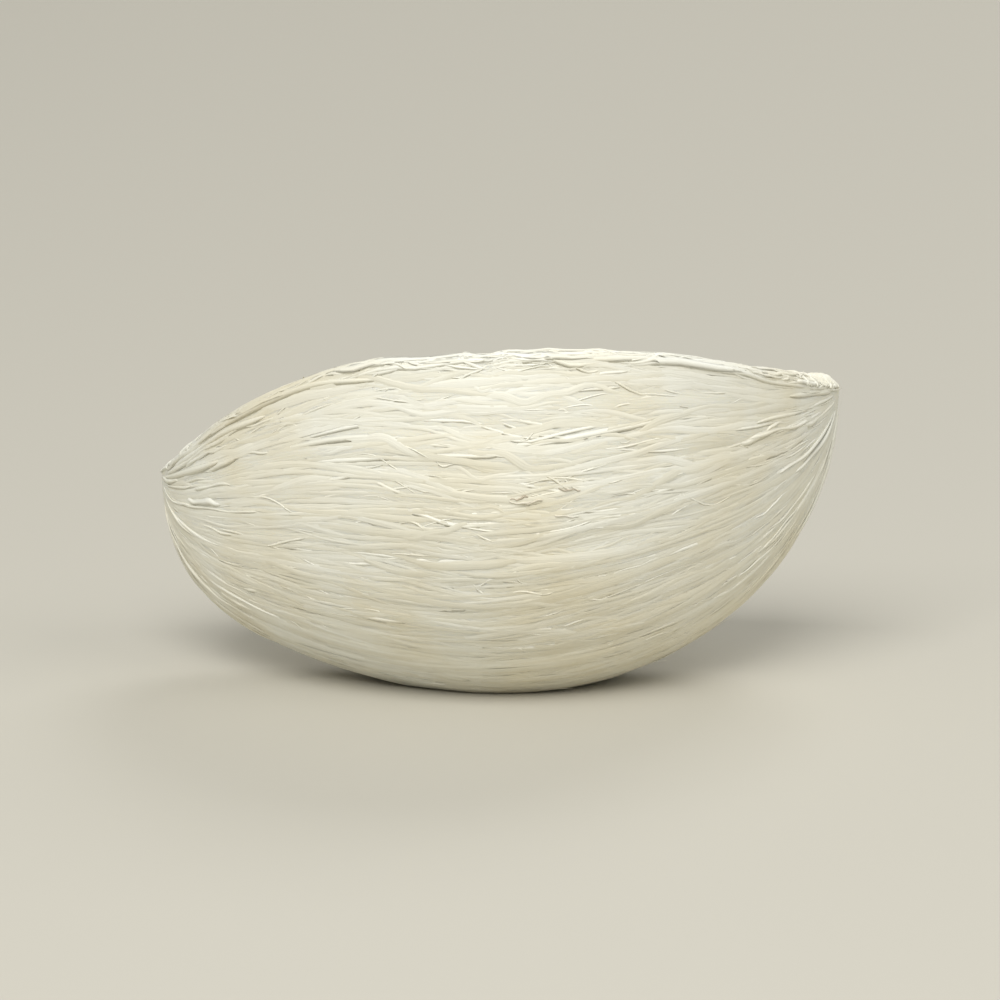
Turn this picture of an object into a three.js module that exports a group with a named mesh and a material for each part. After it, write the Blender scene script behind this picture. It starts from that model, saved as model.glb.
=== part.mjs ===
// A cleaned and dried edible swiftlet nest: one thin-walled, boat-shaped cup of saliva strands laid from tip
// to tip. It stands on the small flat spot under its belly, hollow upwards, as it rests when it is set down.
//
// Millimetres, +Z up. X runs from tip to tip. The tall, arched front wall faces -Y, and the lower back edge,
// where the nest once held to its wall, faces +Y. The cup is one skin, followed round in a loop: down the
// outside of the front wall, under the belly, up to the back edge, over it, and back through the hollow to
// the front rim.

import * as THREE from 'three';
import { ParametricGeometry } from 'three/addons/geometries/ParametricGeometry.js';
import { mergeVertices } from 'three/addons/utils/BufferGeometryUtils.js';

// Driving dimensions of the cup.
const TIP_TO_TIP = 84;
const FRONT_HEIGHT = 44; // from the surface that the nest rests on up to its middle line, just under the rim
const FRONT_BULGE = 26; // from the middle line out to the front wall
const BELLY_PRESS = 1.2; // how much of the belly is pressed away to make the spot it rests on
const TIP_DROP = 14.8; // the tips lie this far below the middle of the rim, on average
const TIP_LEAN = 5.4; // the right tip ends this much above that average and the left one this much below
const TIP_DROP_POWER = 2.6; // how late the rim turns down towards the tips
const TIP_DROP_LEAN = 0.2; // how much later that is at the right tip, and earlier at the left one
const TIP_SET_BACK = 13; // the tips lie this far behind the middle of the cup
const BULGE_TAPER = 0.7; // how bluntly the bulge and the depth close towards the tips: 0.5 is an ellipse
const DEPTH_TAPER = 0.55;
const FRONT_RIM_ANGLE = -92; // degrees round from straight down to the front rim
const BACK_EDGE_ANGLE = 63; // degrees round from straight down to the back edge

// Thickness of the dried wall.
const RIM_WALL = 2.1;
const BELLY_WALL = 3.6;
const FOOT_LENGTH = 4.5; // solid strand at each tip before the hollow begins
const EDGE_ROUND = 0.3; // rise of the rim and the back edge between their two faces, as a share of the wall

// The courses of strand that stand up from the skin, and the slow unevenness of a shape made by hand.
const OUTSIDE_COURSES = 22;
const HOLLOW_COURSES = 12;
const COURSE_HEIGHT = 0.45;
const COURSE_FADE = 0.4; // the share of its height that a course gains and loses along its length
const COURSE_WANDER = 1.8; // degrees
const LUMP_HEIGHT = 0.4;
const RIM_WAVE = 0.35;
const RIM_RIPPLE = 0.08;
const RIM_FADE = 6; // how close to the rim and the back edge their waves stay

// The waves behind that unevenness: radians for each unit along the cup and round it, and the phase.
const FADING = { along: 7.3, round: 31, phase: 0 };
const WANDERING = { along: 4.1, round: 9, phase: 0 };
const LUMPS_ALONG = { along: 3.1, round: 5, phase: 0 };
const LUMPS_ROUND = { along: -2.3, round: 9, phase: 1 };
const RIM_RISING = { along: 4.6, round: 0, phase: 0 };
const RIM_RIPPLING = { along: 13, round: 3, phase: 1 };

// Steps of the mesh. Each course has one crest and two lower rows beside it.
const STATIONS = 42;
const EDGE_STEPS = 3;
const OUTSIDE_STEPS = 3 * OUTSIDE_COURSES;
const HOLLOW_STEPS = 3 * HOLLOW_COURSES;
const LOOP_STEPS = OUTSIDE_STEPS + EDGE_STEPS + HOLLOW_STEPS + EDGE_STEPS;

const SLOPE_STEP = { along: 0.01, angle: 1 }; // steps over a skin that its direction out is found from
const MERGE_WITHIN = 1e-3;
const COLOUR_OF_DRIED_NEST = 0xe5e0cb;
const ROUGHNESS_OF_DRIED_NEST = 0.55;

const radians = THREE.MathUtils.degToRad;
const lerp = THREE.MathUtils.lerp;

// The two skins of the wall: the outside, and the hollow, which is a smaller cup of the same form.
const BELLY_DEPTH = FRONT_HEIGHT + BELLY_PRESS;
const OUTSIDE = {
  halfLength: TIP_TO_TIP / 2,
  bulge: FRONT_BULGE,
  depth: BELLY_DEPTH,
  courses: OUTSIDE_COURSES,
  out: 1,
};
const HOLLOW = {
  halfLength: TIP_TO_TIP / 2 - FOOT_LENGTH,
  bulge: FRONT_BULGE - RIM_WALL,
  depth: BELLY_DEPTH - BELLY_WALL,
  courses: HOLLOW_COURSES,
  out: -1,
};

// How full the cup is at a place along it: 1 at the middle, 0 at the tips.
function fullness(along) {
  return Math.max(0, 1 - along * along);
}

// The height of a wave, from -1 to 1, at a place along the cup and round it.
function heightOf(wave, along, round) {
  return Math.sin(wave.along * along + wave.round * round + wave.phase);
}

// The middle line that the cup is rounded about. It is arched, and set back towards the tips.
function middleLine(along) {
  const power = TIP_DROP_POWER + TIP_DROP_LEAN * along;
  return {
    y: TIP_SET_BACK * along * along,
    z: FRONT_HEIGHT - (TIP_DROP - TIP_LEAN * along) * Math.abs(along) ** power,
  };
}

// A point of a skin before its relief. along runs from -1 at the left tip to 1 at the right one. angle is in
// degrees round from straight down, negative to the front.
function smoothPoint(skin, along, angle) {
  const middle = middleLine(along);
  const turn = radians(angle);
  const full = fullness(along);
  return new THREE.Vector3(
    skin.halfLength * along,
    middle.y + skin.bulge * Math.sin(turn) * full ** BULGE_TAPER,
    middle.z - skin.depth * Math.cos(turn) * full ** DEPTH_TAPER,
  );
}

// How far the skin stands out from its smooth form, in millimetres: courses of strand that swell and fade
// along their length, over a few slow lumps.
function relief(skin, along, round) {
  const course = Math.cos(2 * Math.PI * skin.courses * round);
  const swell = 1 - COURSE_FADE + COURSE_FADE * heightOf(FADING, along, round);
  const lumps = heightOf(LUMPS_ALONG, along, round) * heightOf(LUMPS_ROUND, along, round);
  return Math.sqrt(fullness(along)) * (COURSE_HEIGHT * course * swell + LUMP_HEIGHT * lumps);
}

// The direction out of the wall at a point of a skin, from two short steps over it.
function outwards(skin, along, angle) {
  const step = SLOPE_STEP;
  const near = THREE.MathUtils.clamp(along, 2 * step.along - 1, 1 - 2 * step.along); // not at a tip
  const across = smoothPoint(skin, near + step.along, angle).sub(smoothPoint(skin, near - step.along, angle));
  const down = smoothPoint(skin, near, angle + step.angle).sub(smoothPoint(skin, near, angle - step.angle));
  return down.cross(across).normalize().multiplyScalar(skin.out);
}

// A point of a skin with its relief. round runs from 0 at the front rim to 1 at the back edge. The courses
// wander a little, and the rim and the back edge rise and fall.
function skinPoint(skin, along, round) {
  const wander = COURSE_WANDER * heightOf(WANDERING, along, round) * Math.sin(Math.PI * round);
  const angle = lerp(FRONT_RIM_ANGLE, BACK_EDGE_ANGLE, round) + wander;
  const point = smoothPoint(skin, along, angle);
  point.addScaledVector(outwards(skin, along, angle), relief(skin, along, round));
  const nearEdge = Math.abs(2 * round - 1) ** RIM_FADE;
  const wave = RIM_WAVE * heightOf(RIM_RISING, along, round);
  const ripple = RIM_RIPPLE * heightOf(RIM_RIPPLING, along, round);
  point.z += (wave + ripple) * nearEdge * fullness(along);
  return point;
}

// A point on the rounded edge that joins the outside to the hollow. share runs from 0 outside to 1 inside.
function edgePoint(along, round, share) {
  const outer = skinPoint(OUTSIDE, along, round);
  const inner = skinPoint(HOLLOW, along, round);
  const rise = EDGE_ROUND * outer.distanceTo(inner) * Math.sin(Math.PI * share);
  return outer.lerp(inner, share).add(new THREE.Vector3(0, 0, rise));
}

// The whole skin as one function: loop goes once round the section, and station from the left tip to the
// right one.
function cupSkin(loop, station, target) {
  const along = -Math.cos(Math.PI * station);
  let step = loop * LOOP_STEPS;
  if (step <= OUTSIDE_STEPS) {
    target.copy(skinPoint(OUTSIDE, along, step / OUTSIDE_STEPS));
  } else if ((step -= OUTSIDE_STEPS) <= EDGE_STEPS) {
    target.copy(edgePoint(along, 1, step / EDGE_STEPS));
  } else if ((step -= EDGE_STEPS) <= HOLLOW_STEPS) {
    target.copy(skinPoint(HOLLOW, along, 1 - step / HOLLOW_STEPS));
  } else {
    target.copy(edgePoint(along, 0, 1 - (step - HOLLOW_STEPS) / EDGE_STEPS));
  }
  target.z = Math.max(0, target.z); // the belly is pressed flat where it rests
}

// The parametric grid made into one closed skin: shared corners are merged, and the faces that close up to
// nothing at the tips are dropped.
function closedSkin(geometry) {
  geometry.deleteAttribute('normal');
  geometry.deleteAttribute('uv');
  const merged = mergeVertices(geometry, MERGE_WITHIN);
  const corners = merged.getIndex().array;
  const faces = [];
  for (let i = 0; i < corners.length; i += 3) {
    const [a, b, c] = corners.subarray(i, i + 3);
    if (a !== b && b !== c && c !== a) faces.push(a, b, c);
  }
  merged.setIndex(faces);
  merged.computeVertexNormals();
  return merged;
}

function driedNest() {
  const geometry = closedSkin(new ParametricGeometry(cupSkin, LOOP_STEPS, STATIONS));
  const driedSaliva = new THREE.MeshStandardMaterial({
    color: COLOUR_OF_DRIED_NEST,
    roughness: ROUGHNESS_OF_DRIED_NEST,
    metalness: 0,
  });
  const nest = new THREE.Mesh(geometry, driedSaliva);
  nest.name = 'nest';
  return nest;
}

const edibleNest = new THREE.Group();
edibleNest.add(driedNest());

export default edibleNest;
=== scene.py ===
"""A cleaned and dried edible swiftlet nest, resting hollow upwards on the small flat spot under its belly.

The nest is one cup of saliva strands. Here the cup is a fine skin, and the strands that show are laid over
it one by one. Every shape is worked out in millimetres and put into its mesh in metres.
"""

import math

import bmesh
import bpy
import numpy as np
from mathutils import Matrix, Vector


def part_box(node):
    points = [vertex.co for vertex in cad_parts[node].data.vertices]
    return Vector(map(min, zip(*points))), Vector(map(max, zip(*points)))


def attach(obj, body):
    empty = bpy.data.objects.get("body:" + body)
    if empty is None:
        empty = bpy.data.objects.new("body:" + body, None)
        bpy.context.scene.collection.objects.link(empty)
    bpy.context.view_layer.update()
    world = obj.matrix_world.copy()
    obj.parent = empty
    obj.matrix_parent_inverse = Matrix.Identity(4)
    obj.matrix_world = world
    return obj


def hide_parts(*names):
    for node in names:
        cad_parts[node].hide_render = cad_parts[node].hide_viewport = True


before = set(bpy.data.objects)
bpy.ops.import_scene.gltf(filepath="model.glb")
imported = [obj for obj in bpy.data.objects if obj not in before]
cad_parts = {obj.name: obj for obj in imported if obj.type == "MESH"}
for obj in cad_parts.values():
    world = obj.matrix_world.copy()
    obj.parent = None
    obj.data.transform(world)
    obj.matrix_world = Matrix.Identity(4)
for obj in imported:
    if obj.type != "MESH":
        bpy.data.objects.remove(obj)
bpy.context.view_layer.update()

# Camera. The front wall is seen straight on and from a little above, through a long lens, so the tips look
# hardly smaller than the rim that stands nearer.
CAMERA_ELEVATION = math.radians(12)
CAMERA_DISTANCE = 1.0  # metres
CAMERA_LENS = 294  # mm
nest_low, nest_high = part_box("nest")
nest_middle = (nest_low + nest_high) / 2
towards_camera = Vector((0, -math.cos(CAMERA_ELEVATION), math.sin(CAMERA_ELEVATION)))
camera = bpy.data.objects.new("camera", bpy.data.cameras.new("camera"))
camera.data.lens = CAMERA_LENS
camera.location = nest_middle + CAMERA_DISTANCE * towards_camera
camera.rotation_euler = (-towards_camera).to_track_quat("-Z", "Y").to_euler()
bpy.context.scene.collection.objects.link(camera)
bpy.context.scene.camera = camera

# The cup. It formed as one piece: each strand was laid wet on the ones below and dried to them, so the wall
# is a crust of fused strands, 2 mm thick at the rim and thicker at the belly, and solid in the feet at its
# two tips.
MM = 0.001
TIP_TO_TIP = (nest_high.x - nest_low.x) / MM
FRONT_HEIGHT = 44.0  # from the surface up to the middle line that the cup is rounded about
BELLY_PRESS = 1.2  # how much of the belly is pressed away to make the spot it rests on
BELLY_DEPTH = FRONT_HEIGHT + BELLY_PRESS
FRONT_BULGE = 26.0  # from the middle line out to the front wall
TIP_DROP = 14.8  # the tips lie this far below the middle of the rim, on average
TIP_LEAN = 5.4  # the right tip ends this much above that average and the left one this much below
TIP_DROP_POWER = 2.6  # how late the rim turns down towards the tips
TIP_DROP_LEAN = 0.2  # how much later that is at the right tip, and earlier at the left one
TIP_SET_BACK = 13.0  # the tips lie this far behind the middle of the cup
BULGE_TAPER = 0.7  # how bluntly the bulge and the depth close towards the tips: 0.5 is an ellipse
DEPTH_TAPER = 0.55
FRONT_RIM_ANGLE = -92.0  # degrees round from straight down
BACK_EDGE_ANGLE = 63.0
RIM_WALL = 2.1
BELLY_WALL = 3.6
FOOT_LENGTH = 4.5  # solid strand at each tip before the hollow begins
EDGE_ROUND = 0.3  # rise of the rim and the back edge between their two faces, as a share of the wall

# The two faces of the wall, each with its courses of strand and the seed of its relief. The arc is the
# length that the way round counts for, from the front rim to the back edge. It is about a tenth more than
# the real 95 and 87 mm at the middle of the cup, so a mm counted round the cup is 0.9 mm there, and less
# towards the tips.
OUTSIDE = dict(
    half_length=TIP_TO_TIP / 2,
    bulge=FRONT_BULGE,
    depth=BELLY_DEPTH,
    courses=22,
    arc=104.0,
    seed=11,
)
HOLLOW = dict(
    half_length=TIP_TO_TIP / 2 - FOOT_LENGTH,
    bulge=FRONT_BULGE - RIM_WALL,
    depth=BELLY_DEPTH - BELLY_WALL,
    courses=12,
    arc=95.0,
    seed=23,
)
EDGE_ARC = 3.0  # the way over the rim or the back edge, counted in the same way

# The loop round the section, which starts at the front rim. Its stops are the ends of its four stretches:
# down the outside, over the back edge, through the hollow, and over the rim.
LOOP_STOPS = np.cumsum([0.0, OUTSIDE["arc"], EDGE_ARC, HOLLOW["arc"], EDGE_ARC])
LOOP = LOOP_STOPS[-1]


def fullness(along):
    """1 at the middle of the cup and 0 at its tips: 1 less the square of the place along it."""
    return np.clip(1 - along**2, 0, None)


def smooth_cup(skin, along, angle):
    """A face of the wall without relief. The middle line is arched and set back towards the tips, and round
    it the section is part of an ellipse that closes towards the tips. angle is in degrees from straight
    down, negative in front."""
    turn = np.radians(angle)
    full = fullness(along)
    drop = (TIP_DROP - TIP_LEAN * along) * np.abs(along) ** (TIP_DROP_POWER + TIP_DROP_LEAN * along)
    return np.stack(
        (
            skin["half_length"] * along,
            TIP_SET_BACK * along**2 + skin["bulge"] * np.sin(turn) * full**BULGE_TAPER,
            FRONT_HEIGHT - drop - skin["depth"] * np.cos(turn) * full**DEPTH_TAPER,
        ),
        axis=-1,
    )


def smooth_step(x):
    """3 x^2 - 2 x^3 between 0 and 1, and level outside them."""
    x = np.clip(x, 0, 1)
    return x * x * (3 - 2 * x)


CELLS = 256  # cells of streaks before they repeat. The nest takes 228 at most


def streaks(u, v, size, seed):
    """Heights from -1 to 1 in streaks along u. Random heights stand at the corners of cells of that length
    and width, and are blended between the corners. Each row of cells is shifted along u at random."""
    length, width = size
    rng = np.random.default_rng(seed)
    heights = rng.uniform(-1, 1, (CELLS, CELLS))
    shifts = rng.uniform(0, CELLS, CELLS)
    row = np.floor(v / width).astype(int)
    across = smooth_step(v / width - row)

    def along_row(r):
        """The heights along the lower edges of the rows r."""
        place = u / length + shifts[r % CELLS]
        cell = np.floor(place).astype(int)
        share = smooth_step(place - cell)
        here = heights[r % CELLS, cell % CELLS]
        following = heights[r % CELLS, (cell + 1) % CELLS]
        return here * (1 - share) + following * share

    return along_row(row) * (1 - across) + along_row(row + 1) * across


# Long waves over a face: radians for each unit along the cup and round it, and the phase.
FADING = (7.3, 31, 0)
WANDERING = (4.1, 9, 0)
LUMPS_ALONG = (3.1, 5, 0)
LUMPS_ROUND = (-2.3, 9, 1)
RIM_RISING = (4.6, 0, 0)
RIM_RIPPLING = (13, 3, 1)


def wave(shape, along, around):
    """The sine of an angle that grows evenly along the cup and round it."""
    per_along, per_around, phase = shape
    return np.sin(per_along * along + per_around * around + phase)


LUMP_HEIGHT = 0.4
COURSE_HEIGHT = 0.06
COURSE_FADE = 0.4  # the share of its height that a course gains and loses along its length
BAND_HEIGHT = 0.12
BAND_SIZE = (21, 3.4)  # along and across, in mm
THREAD_HEIGHT = 0.11
THREAD_SIZE = (15, 1.5)
THREAD_SLANT = 0.05  # mm across for each mm along
FINE_THREAD_SIZE = (9, 0.95)
FINE_THREAD_SLANT = -0.04
FINE_THREAD_SHARE = 0.6  # their height as a share of the wider threads'
THREAD_MEAN = 0.5  # taken off, so that threads rise and fall about the face
THREAD_TAPER = 0.4  # threads fade towards the tips as the fullness to this power


def relief(skin, along, around, threads):
    """How far a face stands out, in mm: slow lumps, the courses in which the nest was built up, bands of
    strands a few mm wide, and threads about a mm wide. A thread is the size of a streak without its sign, so
    it is round on top and meets the next in a sharp valley. It all runs along the cup and fades at the
    tips."""
    u = skin["half_length"] * along
    v = skin["arc"] * around
    lumps = wave(LUMPS_ALONG, along, around) * wave(LUMPS_ROUND, along, around)
    fading = 1 - COURSE_FADE + COURSE_FADE * wave(FADING, along, around)
    courses = np.cos(2 * math.pi * skin["courses"] * around) * fading
    bands = streaks(u, v, BAND_SIZE, skin["seed"])
    wide = np.abs(streaks(u, v + THREAD_SLANT * u, THREAD_SIZE, skin["seed"] + 1))
    fine = np.abs(streaks(u, v + FINE_THREAD_SLANT * u, FINE_THREAD_SIZE, skin["seed"] + 2))
    raised = wide + FINE_THREAD_SHARE * fine - THREAD_MEAN
    full = fullness(along)
    broad = LUMP_HEIGHT * lumps + COURSE_HEIGHT * courses + BAND_HEIGHT * bands
    return np.sqrt(full) * broad + full**THREAD_TAPER * threads * THREAD_HEIGHT * raised


LEAST_LENGTH = 1e-9  # stands in for the length of a vector that has none


def unit(vectors):
    """Each vector over its own length."""
    return vectors / np.maximum(np.linalg.norm(vectors, axis=-1, keepdims=True), LEAST_LENGTH)


COURSE_WANDER = 1.8  # degrees
RIM_WAVE = 0.35  # mm, as the next two are
RIM_RIPPLE = 0.08
RIM_NICK = 0.28
RIM_NICK_SIZE = (2.6, 1)  # along and across, in mm
RIM_NICK_SEED = 5
RIM_FADE = 6  # how close to the rim and the back edge their waves stay
SLOPE_ALONG = 0.01  # steps over a face that its direction out is found from, as a share of half its length
SLOPE_ANGLE = 1  # and in degrees


def skin_point(skin, along, around, threads):
    """A face of the wall with its relief. around runs from 0 at the front rim to 1 at the back edge. The
    courses wander a little, and the relief stands square to the face. Both edges rise and fall in long
    waves, ripples and nicks."""
    wander = COURSE_WANDER * wave(WANDERING, along, around) * np.sin(math.pi * around)
    angle = FRONT_RIM_ANGLE + (BACK_EDGE_ANGLE - FRONT_RIM_ANGLE) * around + wander
    near = np.clip(along, 2 * SLOPE_ALONG - 1, 1 - 2 * SLOPE_ALONG)  # short of the tips, which have no slope
    down = smooth_cup(skin, near, angle + SLOPE_ANGLE) - smooth_cup(skin, near, angle - SLOPE_ANGLE)
    across = smooth_cup(skin, near + SLOPE_ALONG, angle) - smooth_cup(skin, near - SLOPE_ALONG, angle)
    side = 1 if skin is OUTSIDE else -1
    outwards = side * unit(np.cross(down, across))
    point = smooth_cup(skin, along, angle) + outwards * relief(skin, along, around, threads)[..., None]
    waves = RIM_WAVE * wave(RIM_RISING, along, around) + RIM_RIPPLE * wave(RIM_RIPPLING, along, around)
    u = skin["half_length"] * along
    nicks = RIM_NICK * streaks(u, np.zeros_like(u), RIM_NICK_SIZE, RIM_NICK_SEED)
    point[..., 2] += (waves + nicks) * np.abs(2 * around - 1) ** RIM_FADE * fullness(along)
    return point


def nest_surface(u, loop, threads=1.0):
    """The whole skin of the nest. u is the place from tip to tip in mm, and loop the way round the section,
    in the mm of the arcs. The stage counts the stretches of the loop: around goes from rim to back edge in
    the first, and back in the third. Over both edges, in the second and fourth, the point goes straight from
    one face to the other, plus a half wave that rounds the edge. threads is the share of the threads'
    height."""
    along = np.clip(2 * u / TIP_TO_TIP, -1, 1)
    stage = np.interp(np.mod(loop, LOOP), LOOP_STOPS, [0, 1, 2, 3, 4])
    around = np.clip(np.minimum(stage, 3 - stage), 0, 1)
    share = np.clip(np.minimum(stage - 1, 4 - stage), 0, 1)
    outer = skin_point(OUTSIDE, along, around, threads)
    inner = skin_point(HOLLOW, along, around, threads)
    point = outer + (inner - outer) * share[..., None]
    wall = np.linalg.norm(outer - inner, axis=-1)
    point[..., 2] += EDGE_ROUND * wall * np.sin(math.pi * share)
    return point


def make_piece(name, points, quads, triangles, uv, tone):
    """A mesh piece at the origin, from points in mm, faces with four and three corners, and for each point a
    place on the strand in mm and a tone. Nothing goes below the surface that the nest rests on."""
    points = np.column_stack((points[:, :2], np.maximum(points[:, 2], 0)))
    corners = np.concatenate((quads.ravel(), triangles.ravel()))
    sizes = np.repeat((4, 3), (len(quads), len(triangles)))
    mesh = bpy.data.meshes.new(name)
    mesh.vertices.add(len(points))
    mesh.vertices.foreach_set("co", (points * MM).astype(np.float32).ravel())
    mesh.loops.add(len(corners))
    mesh.loops.foreach_set("vertex_index", corners.astype(np.int32))
    mesh.polygons.add(len(sizes))
    mesh.polygons.foreach_set("loop_start", (np.cumsum(sizes) - sizes).astype(np.int32))
    mesh.polygons.foreach_set("use_smooth", np.ones(len(sizes), bool))
    mesh.uv_layers.new(name="strand_mm").data.foreach_set("uv", uv[corners].astype(np.float32).ravel())
    mesh.attributes.new("tone", "FLOAT", "POINT").data.foreach_set("value", tone.astype(np.float32))
    mesh.update(calc_edges=True)
    piece = bpy.data.objects.new(name, mesh)
    bpy.context.scene.collection.objects.link(piece)
    return piece


def linear(hex_colour):
    """An sRGB hex colour as linear red, green, blue and an alpha of 1."""
    parts = np.array([int(hex_colour[i : i + 2], 16) / 255 for i in (1, 3, 5)])
    return (*np.where(parts <= 0.04045, parts / 12.92, ((parts + 0.055) / 1.055) ** 2.4), 1)


def add_node(tree, kind, settings=None, **inputs):
    """Adds a node, sets its properties, and fills its inputs: an output is linked, and anything else is a
    value. An input is named in lower case with _ for a space, or _ and its number."""
    node = tree.nodes.new(kind)
    for key, value in (settings or {}).items():
        setattr(node, key, value)
    for key, value in inputs.items():
        if key[1:].isdigit():
            socket = node.inputs[int(key[1:])]
        else:
            socket = next(s for s in node.inputs if s.name.lower().replace(" ", "_") == key)
        if isinstance(value, bpy.types.NodeSocket):
            tree.links.new(value, socket)
        else:
            socket.default_value = value
    return node


WARM_CREAM = "#E7E3D1"
CREAM = "#ECEADC"
IVORY = "#F1F0E5"
DOWN_BROWN = "#8E7656"
PATCH_TINT = "#FBF6EB"
PATCH_ACROSS = 16.0  # mm, as the next four are
FIBRE_LENGTH = 8.0
FIBRE_WIDTH = 0.3  # real fibres are finer, and would not show
FIBRE_RELIEF = 0.12
SCATTER_DEPTH = 0.8  # how far light goes into the film
PATCH_RANGE = dict(from_min=0.42, from_max=0.68)  # from no patch to a full one, in the patches' noise
FIBRE_RANGE = dict(from_min=0.3, from_max=0.7)  # from between the fibres to their tops, in the fibres' noise
MULTIPLY = dict(data_type="RGBA", blend_type="MULTIPLY")


def dried_saliva(name, glow):
    """Dried swiftlet saliva, cleaned and air dried: a hard, horn-like protein with the dull shine of a dried
    glaze. glow is the share of the light that goes a little way into it before it comes out."""
    material = bpy.data.materials.new(name)
    material.use_nodes = True
    tree = material.node_tree
    tree.nodes.clear()

    # Each strand has a shade of its own, from warm cream to ivory, and a bit of down is brown.
    tone = add_node(tree, "ShaderNodeAttribute", dict(attribute_name="tone"))
    shade = add_node(tree, "ShaderNodeValToRGB", fac=tone.outputs["Fac"])
    stops = shade.color_ramp.elements
    stops[0].color = linear(WARM_CREAM)
    stops[1].color = linear(DOWN_BROWN)
    for position, colour in ((0.4, CREAM), (0.8, IVORY), (0.84, IVORY)):
        stops.new(position).color = linear(colour)

    # Patches where the saliva dried a little warmer. Object coordinates are in metres.
    place = add_node(tree, "ShaderNodeTexCoord")
    patches = add_node(
        tree,
        "ShaderNodeTexNoise",
        vector=place.outputs["Object"],
        scale=1 / (PATCH_ACROSS * MM),
        detail=3,
        roughness=0.55,
    )
    patch_share = add_node(tree, "ShaderNodeMapRange", value=patches.outputs["Fac"], **PATCH_RANGE)
    patched = add_node(
        tree,
        "ShaderNodeMix",
        MULTIPLY,
        _0=patch_share.outputs["Result"],
        _6=shade.outputs["Color"],
        _7=linear(PATCH_TINT),
    )

    # Fibres in the film and in each strand. Between them the colour is a little darker, as painted shade in
    # their grooves, and the surface is duller. The UV map is in millimetres, along and across a strand, and
    # along the cup and round it on the film.
    place_on_strand = add_node(tree, "ShaderNodeUVMap", dict(uv_map="strand_mm"))
    stretched = add_node(
        tree,
        "ShaderNodeMapping",
        vector=place_on_strand.outputs["UV"],
        scale=(1 / FIBRE_LENGTH, 1 / FIBRE_WIDTH, 1),
    )
    fibres = add_node(
        tree, "ShaderNodeTexNoise", vector=stretched.outputs["Vector"], scale=1, detail=3, roughness=0.6
    )
    fibre_height = fibres.outputs["Fac"]
    # painted shade: the colour is a little darker in the low grooves between the fibres
    shading = add_node(
        tree, "ShaderNodeMapRange", value=fibre_height, to_min=0.93, to_max=1, **FIBRE_RANGE
    )
    coloured = add_node(
        tree, "ShaderNodeMix", MULTIPLY, _0=1.0, _6=patched.outputs[2], _7=shading.outputs["Result"]
    )
    dullness = add_node(
        tree, "ShaderNodeMapRange", value=fibre_height, to_min=0.6, to_max=0.48, **FIBRE_RANGE
    )
    bumps = add_node(tree, "ShaderNodeBump", strength=0.5, distance=FIBRE_RELIEF * MM, height=fibre_height)
    shader = add_node(
        tree,
        "ShaderNodeBsdfPrincipled",
        dict(subsurface_method="RANDOM_WALK"),
        base_color=coloured.outputs[2],
        roughness=dullness.outputs["Result"],
        ior=1.45,
        subsurface_weight=glow,
        subsurface_radius=(1.0, 0.9, 0.72),
        subsurface_scale=SCATTER_DEPTH * MM,
        normal=bumps.outputs["Normal"],
    )
    add_node(tree, "ShaderNodeOutputMaterial", surface=shader.outputs["BSDF"])
    return material


# The film of the wall is thick enough to glow. A strand is too thin for it, and would look grey.
film = dried_saliva("dried_saliva_film", glow=0.35)
strand = dried_saliva("dried_saliva_strand", glow=0.0)


def finish_piece(piece, material):
    """Gives a piece its finish and lets it go with the nest."""
    piece.data.materials.append(material)
    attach(piece, "root")


STATIONS = 140  # steps from tip to tip
LOOP_ROWS = (340, 12, 240, 12)  # rows in each stretch of the loop
SKIN_TONE = 0.45
SKIN_TONE_SWING = 0.18
SKIN_TONE_SIZE = (9, 0.9)  # along and across, in mm
SKIN_TONE_SEED = 31
MERGE_WITHIN = 2e-6  # metres


def cup_skin():
    """The skin as one closed grid: stations crowd towards the tips, as the cosine of an even count does, and
    rows go round the section. The first and last rows, which meet, are merged, and so is each tip."""
    along = -np.cos(np.linspace(0, math.pi, STATIONS + 1))
    ways = zip(LOOP_STOPS[:-1], LOOP_STOPS[1:], LOOP_ROWS)
    rows = [np.linspace(start, end, count, endpoint=False) for start, end, count in ways]
    loop = np.concatenate((*rows, [LOOP]))
    loop_grid, u_grid = np.meshgrid(loop, along * TIP_TO_TIP / 2, indexing="ij")
    points = nest_surface(u_grid, loop_grid).reshape(-1, 3)
    first = (np.arange(loop.size - 1)[:, None] * along.size + np.arange(along.size - 1)).ravel()
    quads = np.column_stack((first, first + along.size, first + along.size + 1, first + 1))
    uv = np.stack((u_grid, loop_grid), axis=-1).reshape(-1, 2)
    tone = SKIN_TONE + SKIN_TONE_SWING * streaks(u_grid, loop_grid, SKIN_TONE_SIZE, SKIN_TONE_SEED)
    piece = make_piece("nest_cup", points, quads, np.zeros((0, 3), int), uv, tone.ravel())
    net = bmesh.new()
    net.from_mesh(piece.data)
    bmesh.ops.remove_doubles(net, verts=net.verts, dist=MERGE_WITHIN)
    net.to_mesh(piece.data)
    net.free()
    return piece


nest_cup = cup_skin()
finish_piece(nest_cup, film)
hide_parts("nest")

# The strands of the outside. Each is a flat ribbon of saliva, laid along the cup over its neighbours. At its
# widest place it is 0.2 mm wide in the finest and 1.4 mm in the broadest. It swells and thins, dips under
# others, and ends inside the wall. A few of the fine ones stand off the wall at one end.
STEPS = 22  # rings along a strand
RING = 4  # points round it: one on each side, one on top and one below
TIP_REACH = 0.9995 * TIP_TO_TIP / 2  # how far from the middle of the cup a strand is laid, at most
LEAST_AHEAD = 0.05  # the least share of a strand's way that is taken as along the cup
SNAKE_WAVES = (0.6, 1.8)  # waves in the length of a strand
QUICK_WAVE = 2.3  # a second wave, so many times as quick as the first
QUICK_WAVE_SHARE = 0.35


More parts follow.
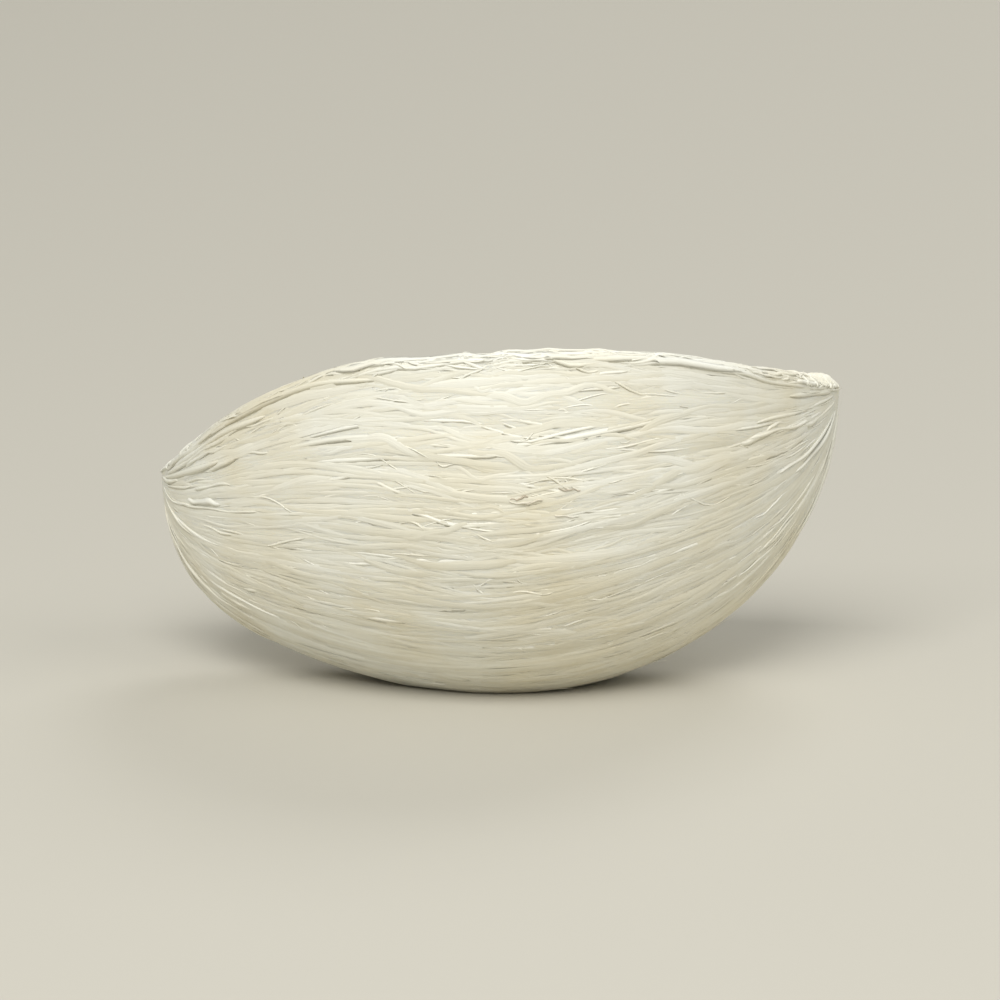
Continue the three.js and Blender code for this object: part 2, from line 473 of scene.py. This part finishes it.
def strand_paths(rng, count, u_range, crowding, loop_range, lengths, heading, slant, wander):
    """Ways for strands, in mm along the cup and round it. A strand has a random middle and length, runs at
    the heading give or take the slant, in radians from along the cup, and snakes to both sides in two slow
    waves. It is shortened to stop before both tips. Crowding above 1 puts more strands in the middle of the
    range, and below 1 at its ends."""
    t = np.linspace(-1, 1, STEPS)
    middle = u_range[0] + (u_range[1] - u_range[0]) * rng.beta(crowding, crowding, (count, 1))
    turn = rng.normal(heading, slant, (count, 1))
    room = (TIP_REACH - np.abs(middle)) / np.maximum(np.abs(np.cos(turn)), LEAST_AHEAD)
    half = np.minimum(rng.uniform(*lengths, (count, 1)) / 2, room)
    start = rng.uniform(*loop_range, (count, 1))
    phase = rng.uniform(0, 2 * math.pi, (count, 1))
    waves = rng.uniform(*SNAKE_WAVES, (count, 1)) * math.pi
    snake = np.sin(waves * t + phase) + QUICK_WAVE_SHARE * np.sin(QUICK_WAVE * waves * t + 2 * phase)
    u = middle + half * t * np.cos(turn) - wander * snake * np.sin(turn)
    loop = start + half * t * np.sin(turn) + wander * snake * np.cos(turn)
    return np.clip(u, -TIP_REACH, TIP_REACH), loop


BEDDING = 0.6  # a strand follows this share of the threads below it
SLOPE_REACH = 0.15  # mm to each side, to find the directions of the wall


def strand_frames(u, loop):
    """The middle of each ring on the nest's surface, and the directions ahead along the strand, to its side
    and out of the wall there."""
    centre = nest_surface(u, loop, BEDDING)
    down = nest_surface(u, loop + SLOPE_REACH, 0) - nest_surface(u, loop - SLOPE_REACH, 0)
    across = nest_surface(u + SLOPE_REACH, loop, 0) - nest_surface(u - SLOPE_REACH, loop, 0)
    outwards = unit(np.cross(down, across))
    ahead = unit(np.gradient(centre, axis=1))
    return centre, ahead, unit(np.cross(outwards, ahead)), outwards


SWELL = 0.22  # the share of its width that a strand gains and loses along its length
SWELL_TURN = (2, 6)  # radians of that wave in half the length
THINNING = 0.7  # the power of 1 - t^4
LEAST_HALF_WIDTH = 0.02
TIP_LENGTH = 0.05  # from the last ring to the tip
BOB = 0.04  # how far a strand rises and sinks along its length
BOB_TURN = (3, 8)  # radians of that wave
DIVE = 0.4  # how deep its ends go into the wall
LOOSE_LIFT = (0.3, 0.8)  # how far a loose end stands off
LOWEST_STRAND = 0.05  # the flat spot is the bare skin, and strands are pressed into it


def strand_rings(rng, frames, widths, lift, flatness, loose):
    """The points of each strand, ring by ring and then its two tips, and how far each is to the strand's
    side. A ring is flattened square to the wall. The strand thins to both ends as a power of 1 - t^4, rides
    at its own height, and dives into the wall at its ends as t^8. The loose share of them stand off the wall
    at one end."""
    centre, ahead, sideways, outwards = frames
    t = np.linspace(-1, 1, STEPS)

    def each(low, high):
        """A random number for each strand, in a column."""
        return rng.uniform(low, high, (len(centre), 1))

    half_width = np.exp(each(*np.log(widths))) / 2
    swell = 1 + SWELL * np.sin(each(*SWELL_TURN) * t + each(0, 2 * math.pi))
    half_width = half_width * swell * (1 - t**4) ** THINNING + LEAST_HALF_WIDTH
    half_height = half_width * each(*flatness)
    ride = each(*lift) + BOB * np.sin(each(*BOB_TURN) * t + each(0, 2 * math.pi))
    ending = np.where((t > 0) & (each(0, 1) < loose), each(*LOOSE_LIFT), -np.abs(ride) - DIVE)
    middle = centre + outwards * (ride + ending * t**8)[..., None]

    turn = np.arange(RING) * 2 * math.pi / RING
    aside = np.cos(turn) * half_width[..., None]
    above = np.sin(turn) * half_height[..., None]
    rings = aside[..., None] * sideways[:, :, None] + above[..., None] * outwards[:, :, None]
    rings = rings + middle[:, :, None]
    tips = middle[:, [0, -1]] + TIP_LENGTH * np.array([[-1], [1]]) * ahead[:, [0, -1]]
    points = np.concatenate((rings.reshape(len(centre), -1, 3), tips), axis=1)
    points[..., 2] = np.maximum(points[..., 2], LOWEST_STRAND)
    return points, np.pad(aside.reshape(len(centre), -1), ((0, 0), (0, 2)))


def strand_faces(count):
    """Faces of closed strands, numbered as strand_rings lays their points: quads from each ring to the next,
    and a fan of triangles over each end."""
    ring = np.arange(RING)
    following = (ring + 1) % RING
    step = RING * np.arange(STEPS - 1)[:, None]
    quads = np.stack((step + ring, step + following, step + RING + following, step + RING + ring), axis=-1)
    last = RING * (STEPS - 1)
    tip = RING * STEPS
    start_fan = np.stack((following, ring, np.full(RING, tip)), axis=-1)
    end_fan = np.stack((last + ring, last + following, np.full(RING, tip + 1)), axis=-1)
    shift = (tip + 2) * np.arange(count)[:, None, None]
    triangles = np.concatenate((start_fan, end_fan))
    return (quads.reshape(-1, 4) + shift).reshape(-1, 4), (triangles + shift).reshape(-1, 3)


def crease_sides(piece):
    """Makes the edges along both sides of each strand sharp: those that join a side point of one ring to the
    same point of the next. Counted within its strand, a side point is even."""
    ends = np.empty(2 * len(piece.data.edges), np.int32)
    piece.data.edges.foreach_get("vertices", ends)
    ends = ends.reshape(-1, 2)
    runs_along = np.abs(ends[:, 1] - ends[:, 0]) == RING
    in_its_strand = ends[:, 0] % (RING * STEPS + 2)
    on_side = in_its_strand % 2 == 0
    creases = piece.data.attributes.new("sharp_edge", "BOOLEAN", "EDGE")
    creases.data.foreach_set("value", runs_along & on_side)


WALL_REACH = (-40, 40)  # mm along the cup, for the middles of most strands
FIBRE_SPREAD = 400  # mm of fibre pattern over which the strands start at random


def lay_strands(
    name,
    seed,
    count,
    loop_range,
    lengths,
    widths,
    slant,
    wander,
    lift,
    flatness,
    tones,
    u_range=WALL_REACH,
    crowding=1.3,
    heading=0.0,
    kept_in=(-np.inf, np.inf),
    loose=0.0,
    pressed=False,
):
    """Lays strands of one kind as a piece. Ranges in mm: u_range and loop_range of their middles, kept_in of
    all of them round the loop, lengths, widths, and lift off the wall. flatness is the range of thickness
    over width, and tones that of the shade. A pressed strand is a ribbon with an edge along each side."""
    rng = np.random.default_rng(seed)
    u, loop = strand_paths(rng, count, u_range, crowding, loop_range, lengths, heading, slant, wander)
    frames = strand_frames(u, np.clip(loop, *kept_in))
    points, aside = strand_rings(rng, frames, widths, lift, flatness, loose)
    centre = frames[0]
    length = np.cumsum(np.linalg.norm(np.diff(centre, axis=1, prepend=centre[:, :1]), axis=-1), axis=1)
    length = np.concatenate((np.repeat(length, RING, axis=1), length[:, [0, -1]]), axis=1)
    uv = np.stack((length, aside), axis=-1) + rng.uniform(0, FIBRE_SPREAD, (count, 1, 2))
    tone = np.repeat(rng.uniform(*tones, count), points.shape[1])
    piece = make_piece(name, points.reshape(-1, 3), *strand_faces(count), uv.reshape(-1, 2), tone)
    if pressed:
        crease_sides(piece)
    finish_piece(piece, strand)


BELLY = OUTSIDE["arc"] / 2  # half way round the outside
EDGE_MARGIN = 0.5  # mm round the loop, left to the strands of the edges
FRONT_RANGE = (EDGE_MARGIN, BELLY)
BELLY_RANGE = (BELLY, OUTSIDE["arc"] - EDGE_MARGIN)
WALL_STRANDS = dict(
    lengths=(12, 60),
    widths=(0.3, 1.1),
    slant=0.09,
    wander=0.5,
    lift=(-0.06, 0.04),
    flatness=(0.12, 0.27),
    tones=(0.15, 0.8),
    pressed=True,
)
lay_strands("front_strands", seed=101, count=750, loop_range=FRONT_RANGE, **WALL_STRANDS)
lay_strands("belly_strands", seed=102, count=620, loop_range=BELLY_RANGE, **WALL_STRANDS)
lay_strands(
    "upper_strands",
    seed=111,
    count=340,
    loop_range=(EDGE_MARGIN, OUTSIDE["arc"]),
    lengths=(14, 60),
    widths=(0.3, 0.8),
    slant=0.08,
    wander=0.5,
    lift=(-0.07, 0),
    flatness=(0.11, 0.2),
    tones=(0.3, 0.8),
)
lay_strands(
    "fine_strands",
    seed=107,
    count=600,
    loop_range=(0, OUTSIDE["arc"]),
    lengths=(7, 34),
    widths=(0.14, 0.34),
    slant=0.15,
    wander=0.8,
    lift=(-0.06, 0),
    flatness=(0.24, 0.42),
    tones=(0.35, 0.8),
    loose=0.06,
)

# The strands of the hollow, of the same saliva. They were laid looser than those outside: many cross at wide
# angles, and stand off the wall as a net that is held only where they touch.
HOLLOW_BACK, HOLLOW_FRONT = LOOP_STOPS[2:4]  # the ends of the hollow's stretch of the loop
NET_MARGIN = 3  # mm from the edges of the hollow to the middle of a strand of the net, at least
NET_LIMIT = 1  # and to any other place on it
lay_strands(
    "hollow_strands",
    seed=103,
    count=620,
    loop_range=(HOLLOW_BACK, HOLLOW_FRONT),
    lengths=(10, 46),
    widths=(0.25, 0.85),
    slant=0.2,
    wander=0.9,
    lift=(-0.1, 0.18),
    flatness=(0.35, 0.6),
    tones=(0.15, 0.8),
)
lay_strands(
    "hollow_net",
    seed=104,
    count=540,
    loop_range=(HOLLOW_BACK + NET_MARGIN, HOLLOW_FRONT - NET_MARGIN),
    lengths=(5, 26),
    widths=(0.16, 0.5),
    slant=0.6,
    wander=1.1,
    lift=(0.05, 0.45),
    flatness=(0.6, 0.9),
    tones=(0.3, 0.8),
    kept_in=(HOLLOW_BACK + NET_LIMIT, HOLLOW_FRONT - NET_LIMIT),
    loose=0.05,
)

# The rim and the back edge. The last strands of the nest are laid along its edges, closer and straighter
# than the others, so each edge is a smooth narrow roll. Short thin ones are wrapped over them at an angle.
RIM_MIDDLE = LOOP - EDGE_ARC / 2
BACK_EDGE_MIDDLE = LOOP_STOPS[1] + EDGE_ARC / 2
EDGE_REACH = (-41.6, 41.6)  # mm along the cup, for the middles of these strands
ROLL_REACH = 2.8  # mm to both sides of the middle of the edge
WRAP_REACH = 2.5
for edge, seed, middle in (("rim", 105, RIM_MIDDLE), ("back_edge", 106, BACK_EDGE_MIDDLE)):
    lay_strands(
        f"{edge}_strands",
        seed=seed,
        count=190,
        loop_range=(middle - ROLL_REACH, middle + ROLL_REACH),
        lengths=(14, 50),
        widths=(0.3, 0.9),
        slant=0.04,
        wander=0.45,
        lift=(-0.07, 0.05),
        flatness=(0.2, 0.4),
        tones=(0.3, 0.8),
        u_range=EDGE_REACH,
        crowding=0.7,
    )
    lay_strands(
        f"{edge}_wraps",
        seed=seed + 10,
        count=110,
        loop_range=(middle - WRAP_REACH, middle + WRAP_REACH),
        lengths=(5, 16),
        widths=(0.18, 0.5),
        slant=0.35,
        wander=0.3,
        lift=(-0.03, 0.06),
        flatness=(0.28, 0.5),
        tones=(0.4, 0.8),
        u_range=EDGE_REACH,
        crowding=0.8,
        loose=0.1,
    )

# The feet. At each tip the strands of the whole cup come together, pressed on in short overlapping lengths.
# More are wrapped over the solid end between the outside and the hollow, and close over its top.
FOOT_REACH = (31, 41.4)  # mm from the middle of the cup, as the next two are
FOOT_WRAP_REACH = (HOLLOW["half_length"], 41.85)
FOOT_TOP_REACH = (41.5, 41.97)
FOOT_WRAP_BAND = 0.8  # mm to both sides of the middle of the edge
FOOT_TOP_BAND = 0.3
for side, sign, seed in (("left", -1, 108), ("right", 1, 109)):
    lay_strands(
        f"{side}_foot_strands",
        seed=seed,
        count=150,
        loop_range=(0, LOOP),
        lengths=(5, 16),
        widths=(0.3, 0.9),
        slant=0.12,
        wander=0.3,
        lift=(-0.05, 0.12),
        flatness=(0.3, 0.6),
        tones=(0.3, 0.8),
        u_range=sorted(sign * u for u in FOOT_REACH),
    )
    for edge, middle, wrap_seed in (("front", RIM_MIDDLE, seed + 5), ("back", BACK_EDGE_MIDDLE, seed + 4)):
        lay_strands(
            f"{side}_foot_{edge}_wraps",
            seed=wrap_seed,
            count=46,
            loop_range=(middle - FOOT_WRAP_BAND, middle + FOOT_WRAP_BAND),
            lengths=(3, 7),
            widths=(0.25, 0.7),
            heading=math.pi / 2,
            slant=0.08,
            wander=0.12,
            lift=(-0.03, 0.14),
            flatness=(0.35, 0.6),
            tones=(0.3, 0.8),
            u_range=[sign * u for u in FOOT_WRAP_REACH],
        )
        lay_strands(
            f"{side}_foot_{edge}_top",
            seed=wrap_seed + 10,
            count=26,
            loop_range=(middle - FOOT_TOP_BAND, middle + FOOT_TOP_BAND),
            lengths=(3.0, 4.6),
            widths=(0.35, 0.8),
            heading=math.pi / 2,
            slant=0.02,
            wander=0.03,
            lift=(0.02, 0.14),
            flatness=(0.35, 0.6),
            tones=(0.3, 0.8),
            u_range=[sign * u for u in FOOT_TOP_REACH],
            crowding=0.6,
        )

# The down. A few thin brown bits of the bird's down are left in the front wall, right of its middle. They
# were laid in with the saliva, and the cleaning did not pull them out.
lay_strands(
    "down_left_in",
    seed=110,
    count=5,
    loop_range=(13.5, 17.5),
    lengths=(1.6, 3.6),
    widths=(0.14, 0.26),
    slant=0.1,
    wander=0.1,
    lift=(0.14, 0.18),
    flatness=(0.6, 0.8),
    tones=(0.87, 0.94),
    u_range=(1.5, 9),
)

# The surface and the light, which are no part of the nest: a pale matt table, a large soft lamp to the upper
# left, a weaker one to the right, one behind, and a pale room.
TABLE_REACH = 3.0  # metres
table_corners = [(x * TABLE_REACH, y * TABLE_REACH, 0) for x, y in ((-1, -1), (1, -1), (1, 1), (-1, 1))]
table_mesh = bpy.data.meshes.new("table")
table_mesh.from_pydata(table_corners, [], [(0, 1, 2, 3)])
table = bpy.data.objects.new("table", table_mesh)
bpy.context.scene.collection.objects.link(table)
pale = bpy.data.materials.new("pale_table")
pale.use_nodes = True
pale.node_tree.nodes.clear()
pale_shader = add_node(
    pale.node_tree, "ShaderNodeBsdfPrincipled", base_color=linear("#BEBAAE"), roughness=0.8
)
add_node(pale.node_tree, "ShaderNodeOutputMaterial", surface=pale_shader.outputs["BSDF"])
table.data.materials.append(pale)


def soft_lamp(name, place, size, watts):
    """A square area lamp that faces the nest. Its place and size are in metres."""
    lamp = bpy.data.lights.new(name, "AREA")
    lamp.size = size
    lamp.energy = watts
    holder = bpy.data.objects.new(name, lamp)
    holder.location = place
    holder.rotation_euler = (nest_middle - Vector(place)).to_track_quat("-Z", "Y").to_euler()
    bpy.context.scene.collection.objects.link(holder)


soft_lamp("key_lamp", place=(-0.2, -0.9, 1.0), size=0.9, watts=17)
soft_lamp("fill_lamp", place=(0.8, -0.6, 0.8), size=0.7, watts=2.8)
soft_lamp("back_lamp", place=(0.3, 0.9, 0.8), size=0.5, watts=4)
room = bpy.data.worlds.new("pale_room")
bpy.context.scene.world = room
room.use_nodes = True
room.node_tree.nodes.clear()
room_light = add_node(room.node_tree, "ShaderNodeBackground", color=linear("#ECECE6"), strength=0.42)
add_node(room.node_tree, "ShaderNodeOutputWorld", surface=room_light.outputs["Background"])
bpy.context.scene.view_settings.view_transform = "Standard"
